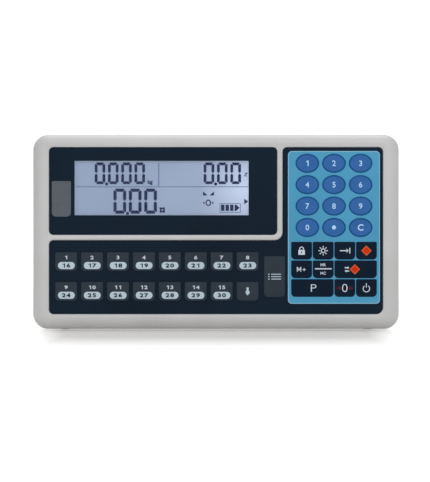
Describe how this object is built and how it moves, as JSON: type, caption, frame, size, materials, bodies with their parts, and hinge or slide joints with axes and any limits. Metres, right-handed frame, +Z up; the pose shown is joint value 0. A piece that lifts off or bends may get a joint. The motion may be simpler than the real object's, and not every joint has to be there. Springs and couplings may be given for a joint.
{
  "type": "weighing indicator",
  "caption": "Leaning desktop weighing indicator with a wide liquid crystal display, number, function and preset keys, and a rear socket bay.",
  "frame": {"origin": "centre of the bounding box in plan, on the surface that the feet stand on", "axes": "+X to the right along the front, +Y from the face to the rear, +Z up; the face leans back 8 degrees"},
  "size_m": [0.3012, 0.066, 0.1602],
  "materials": {
    "housing": "fine satin moulding",
    "navy_film": "printed polyester film",
    "clear_pane": "clear acrylic",
    "smoked_pane": "smoked acrylic",
    "circuit_film": "polyester circuit layers",
    "lcd_glass": "backlit liquid crystal",
    "white_plastic": "moulded",
    "circuit_board": "solder mask",
    "black_plastic": "moulded",
    "battery_case": "moulded",
    "plated_steel": "zinc plated",
    "wire_jacket": "vinyl",
    "nickel": "nickel plated",
    "foot_rubber": "moulded",
    "brass": "turned",
    "blue_key": "embossed printed pad",
    "navy_key": "embossed printed pad",
    "grey_key": "embossed printed pad"
  },
  "bodies": {
    "case": {"front_housing": "housing", "rear_housing": "housing", "display_overlay": "navy_film", "lcd_window": "clear_pane", "side_window": "smoked_pane", "keypad_overlay": "navy_film", "keypad_membrane": "circuit_film", "lcd_glass": "lcd_glass", "lcd_backlight": "white_plastic", "main_board": "circuit_board", "board_components": "black_plastic", "battery": "battery_case", "battery_clamp": "plated_steel", "wiring_loom": "wire_jacket", "load_cell_socket": "nickel", "serial_socket": "nickel", "power_jack": "black_plastic", "case_screws": "plated_steel", "small_screws": "plated_steel", "rubber_feet": "foot_rubber", "bracket_inserts": "brass"},
    "key_0": {"key_0": "blue_key"},
    "key_point": {"key_point": "blue_key"},
    "key_clear": {"key_clear": "blue_key"},
    "key_7": {"key_7": "blue_key"},
    "key_8": {"key_8": "blue_key"},
    "key_9": {"key_9": "blue_key"},
    "key_4": {"key_4": "blue_key"},
    "key_5": {"key_5": "blue_key"},
    "key_6": {"key_6": "blue_key"},
    "key_1": {"key_1": "blue_key"},
    "key_2": {"key_2": "blue_key"},
    "key_3": {"key_3": "blue_key"},
    "key_price": {"key_price": "navy_key"},
    "key_zero": {"key_zero": "navy_key"},
    "key_power": {"key_power": "navy_key"},
    "key_memory_add": {"key_memory_add": "navy_key"},
    "key_memory_recall": {"key_memory_recall": "navy_key"},
    "key_tare": {"key_tare": "navy_key"},
    "key_fixed": {"key_fixed": "navy_key"},
    "key_light": {"key_light": "navy_key"},
    "key_manual": {"key_manual": "navy_key"},
    "key_total": {"key_total": "navy_key"},
    "preset_key_1": {"preset_key_1": "grey_key"},
    "preset_key_2": {"preset_key_2": "grey_key"},
    "preset_key_3": {"preset_key_3": "grey_key"},
    "preset_key_4": {"preset_key_4": "grey_key"},
    "preset_key_5": {"preset_key_5": "grey_key"},
    "preset_key_6": {"preset_key_6": "grey_key"},
    "preset_key_7": {"preset_key_7": "grey_key"},
    "preset_key_8": {"preset_key_8": "grey_key"},
    "preset_key_9": {"preset_key_9": "grey_key"},
    "preset_key_10": {"preset_key_10": "grey_key"},
    "preset_key_11": {"preset_key_11": "grey_key"},
    "preset_key_12": {"preset_key_12": "grey_key"},
    "preset_key_13": {"preset_key_13": "grey_key"},
    "preset_key_14": {"preset_key_14": "grey_key"},
    "preset_key_15": {"preset_key_15": "grey_key"},
    "key_shift": {"key_shift": "grey_key"},
    "key_list": {"key_list": "grey_key"}
  },
  "joints": [
    {"name": "key_0_press", "type": "slide", "parent": "case", "child": "key_0", "axis": [0, 0.9903, -0.1392], "range_m": [0, 0.0004], "stiffness_N_per_m": 1500, "springref_m": -0.0004},
    {"name": "key_point_press", "type": "slide", "parent": "case", "child": "key_point", "axis": [0, 0.9903, -0.1392], "range_m": [0, 0.0004], "stiffness_N_per_m": 1500, "springref_m": -0.0004},
    {"name": "key_clear_press", "type": "slide", "parent": "case", "child": "key_clear", "axis": [0, 0.9903, -0.1392], "range_m": [0, 0.0004], "stiffness_N_per_m": 1500, "springref_m": -0.0004},
    {"name": "key_7_press", "type": "slide", "parent": "case", "child": "key_7", "axis": [0, 0.9903, -0.1392], "range_m": [0, 0.0004], "stiffness_N_per_m": 1500, "springref_m": -0.0004},
    {"name": "key_8_press", "type": "slide", "parent": "case", "child": "key_8", "axis": [0, 0.9903, -0.1392], "range_m": [0, 0.0004], "stiffness_N_per_m": 1500, "springref_m": -0.0004},
    {"name": "key_9_press", "type": "slide", "parent": "case", "child": "key_9", "axis": [0, 0.9903, -0.1392], "range_m": [0, 0.0004], "stiffness_N_per_m": 1500, "springref_m": -0.0004},
    {"name": "key_4_press", "type": "slide", "parent": "case", "child": "key_4", "axis": [0, 0.9903, -0.1392], "range_m": [0, 0.0004], "stiffness_N_per_m": 1500, "springref_m": -0.0004},
    {"name": "key_5_press", "type": "slide", "parent": "case", "child": "key_5", "axis": [0, 0.9903, -0.1392], "range_m": [0, 0.0004], "stiffness_N_per_m": 1500, "springref_m": -0.0004},
    {"name": "key_6_press", "type": "slide", "parent": "case", "child": "key_6", "axis": [0, 0.9903, -0.1392], "range_m": [0, 0.0004], "stiffness_N_per_m": 1500, "springref_m": -0.0004},
    {"name": "key_1_press", "type": "slide", "parent": "case", "child": "key_1", "axis": [0, 0.9903, -0.1392], "range_m": [0, 0.0004], "stiffness_N_per_m": 1500, "springref_m": -0.0004},
    {"name": "key_2_press", "type": "slide", "parent": "case", "child": "key_2", "axis": [0, 0.9903, -0.1392], "range_m": [0, 0.0004], "stiffness_N_per_m": 1500, "springref_m": -0.0004},
    {"name": "key_3_press", "type": "slide", "parent": "case", "child": "key_3", "axis": [0, 0.9903, -0.1392], "range_m": [0, 0.0004], "stiffness_N_per_m": 1500, "springref_m": -0.0004},
    {"name": "key_price_press", "type": "slide", "parent": "case", "child": "key_price", "axis": [0, 0.9903, -0.1392], "range_m": [0, 0.0004], "stiffness_N_per_m": 1500, "springref_m": -0.0004},
    {"name": "key_zero_press", "type": "slide", "parent": "case", "child": "key_zero", "axis": [0, 0.9903, -0.1392], "range_m": [0, 0.0004], "stiffness_N_per_m": 1500, "springref_m": -0.0004},
    {"name": "key_power_press", "type": "slide", "parent": "case", "child": "key_power", "axis": [0, 0.9903, -0.1392], "range_m": [0, 0.0004], "stiffness_N_per_m": 1500, "springref_m": -0.0004},
    {"name": "key_memory_add_press", "type": "slide", "parent": "case", "child": "key_memory_add", "axis": [0, 0.9903, -0.1392], "range_m": [0, 0.0004], "stiffness_N_per_m": 1500, "springref_m": -0.0004},
    {"name": "key_memory_recall_press", "type": "slide", "parent": "case", "child": "key_memory_recall", "axis": [0, 0.9903, -0.1392], "range_m": [0, 0.0004], "stiffness_N_per_m": 1500, "springref_m": -0.0004},
    {"name": "key_tare_press", "type": "slide", "parent": "case", "child": "key_tare", "axis": [0, 0.9903, -0.1392], "range_m": [0, 0.0004], "stiffness_N_per_m": 1500, "springref_m": -0.0004},
    {"name": "key_fixed_press", "type": "slide", "parent": "case", "child": "key_fixed", "axis": [0, 0.9903, -0.1392], "range_m": [0, 0.0004], "stiffness_N_per_m": 1500, "springref_m": -0.0004},
    {"name": "key_light_press", "type": "slide", "parent": "case", "child": "key_light", "axis": [0, 0.9903, -0.1392], "range_m": [0, 0.0004], "stiffness_N_per_m": 1500, "springref_m": -0.0004},
    {"name": "key_manual_press", "type": "slide", "parent": "case", "child": "key_manual", "axis": [0, 0.9903, -0.1392], "range_m": [0, 0.0004], "stiffness_N_per_m": 1500, "springref_m": -0.0004},
    {"name": "key_total_press", "type": "slide", "parent": "case", "child": "key_total", "axis": [0, 0.9903, -0.1392], "range_m": [0, 0.0004], "stiffness_N_per_m": 1500, "springref_m": -0.0004},
    {"name": "preset_key_1_press", "type": "slide", "parent": "case", "child": "preset_key_1", "axis": [0, 0.9903, -0.1392], "range_m": [0, 0.0004], "stiffness_N_per_m": 1500, "springref_m": -0.0004},
    {"name": "preset_key_2_press", "type": "slide", "parent": "case", "child": "preset_key_2", "axis": [0, 0.9903, -0.1392], "range_m": [0, 0.0004], "stiffness_N_per_m": 1500, "springref_m": -0.0004},
    {"name": "preset_key_3_press", "type": "slide", "parent": "case", "child": "preset_key_3", "axis": [0, 0.9903, -0.1392], "range_m": [0, 0.0004], "stiffness_N_per_m": 1500, "springref_m": -0.0004},
    {"name": "preset_key_4_press", "type": "slide", "parent": "case", "child": "preset_key_4", "axis": [0, 0.9903, -0.1392], "range_m": [0, 0.0004], "stiffness_N_per_m": 1500, "springref_m": -0.0004},
    {"name": "preset_key_5_press", "type": "slide", "parent": "case", "child": "preset_key_5", "axis": [0, 0.9903, -0.1392], "range_m": [0, 0.0004], "stiffness_N_per_m": 1500, "springref_m": -0.0004},
    {"name": "preset_key_6_press", "type": "slide", "parent": "case", "child": "preset_key_6", "axis": [0, 0.9903, -0.1392], "range_m": [0, 0.0004], "stiffness_N_per_m": 1500, "springref_m": -0.0004},
    {"name": "preset_key_7_press", "type": "slide", "parent": "case", "child": "preset_key_7", "axis": [0, 0.9903, -0.1392], "range_m": [0, 0.0004], "stiffness_N_per_m": 1500, "springref_m": -0.0004},
    {"name": "preset_key_8_press", "type": "slide", "parent": "case", "child": "preset_key_8", "axis": [0, 0.9903, -0.1392], "range_m": [0, 0.0004], "stiffness_N_per_m": 1500, "springref_m": -0.0004},
    {"name": "preset_key_9_press", "type": "slide", "parent": "case", "child": "preset_key_9", "axis": [0, 0.9903, -0.1392], "range_m": [0, 0.0004], "stiffness_N_per_m": 1500, "springref_m": -0.0004},
    {"name": "preset_key_10_press", "type": "slide", "parent": "case", "child": "preset_key_10", "axis": [0, 0.9903, -0.1392], "range_m": [0, 0.0004], "stiffness_N_per_m": 1500, "springref_m": -0.0004},
    {"name": "preset_key_11_press", "type": "slide", "parent": "case", "child": "preset_key_11", "axis": [0, 0.9903, -0.1392], "range_m": [0, 0.0004], "stiffness_N_per_m": 1500, "springref_m": -0.0004},
    {"name": "preset_key_12_press", "type": "slide", "parent": "case", "child": "preset_key_12", "axis": [0, 0.9903, -0.1392], "range_m": [0, 0.0004], "stiffness_N_per_m": 1500, "springref_m": -0.0004},
    {"name": "preset_key_13_press", "type": "slide", "parent": "case", "child": "preset_key_13", "axis": [0, 0.9903, -0.1392], "range_m": [0, 0.0004], "stiffness_N_per_m": 1500, "springref_m": -0.0004},
    {"name": "preset_key_14_press", "type": "slide", "parent": "case", "child": "preset_key_14", "axis": [0, 0.9903, -0.1392], "range_m": [0, 0.0004], "stiffness_N_per_m": 1500, "springref_m": -0.0004},
    {"name": "preset_key_15_press", "type": "slide", "parent": "case", "child": "preset_key_15", "axis": [0, 0.9903, -0.1392], "range_m": [0, 0.0004], "stiffness_N_per_m": 1500, "springref_m": -0.0004},
    {"name": "key_shift_press", "type": "slide", "parent": "case", "child": "key_shift", "axis": [0, 0.9903, -0.1392], "range_m": [0, 0.0004], "stiffness_N_per_m": 1500, "springref_m": -0.0004},
    {"name": "key_list_press", "type": "slide", "parent": "case", "child": "key_list", "axis": [0, 0.9903, -0.1392], "range_m": [0, 0.0004], "stiffness_N_per_m": 1500, "springref_m": -0.0004}
  ]
}
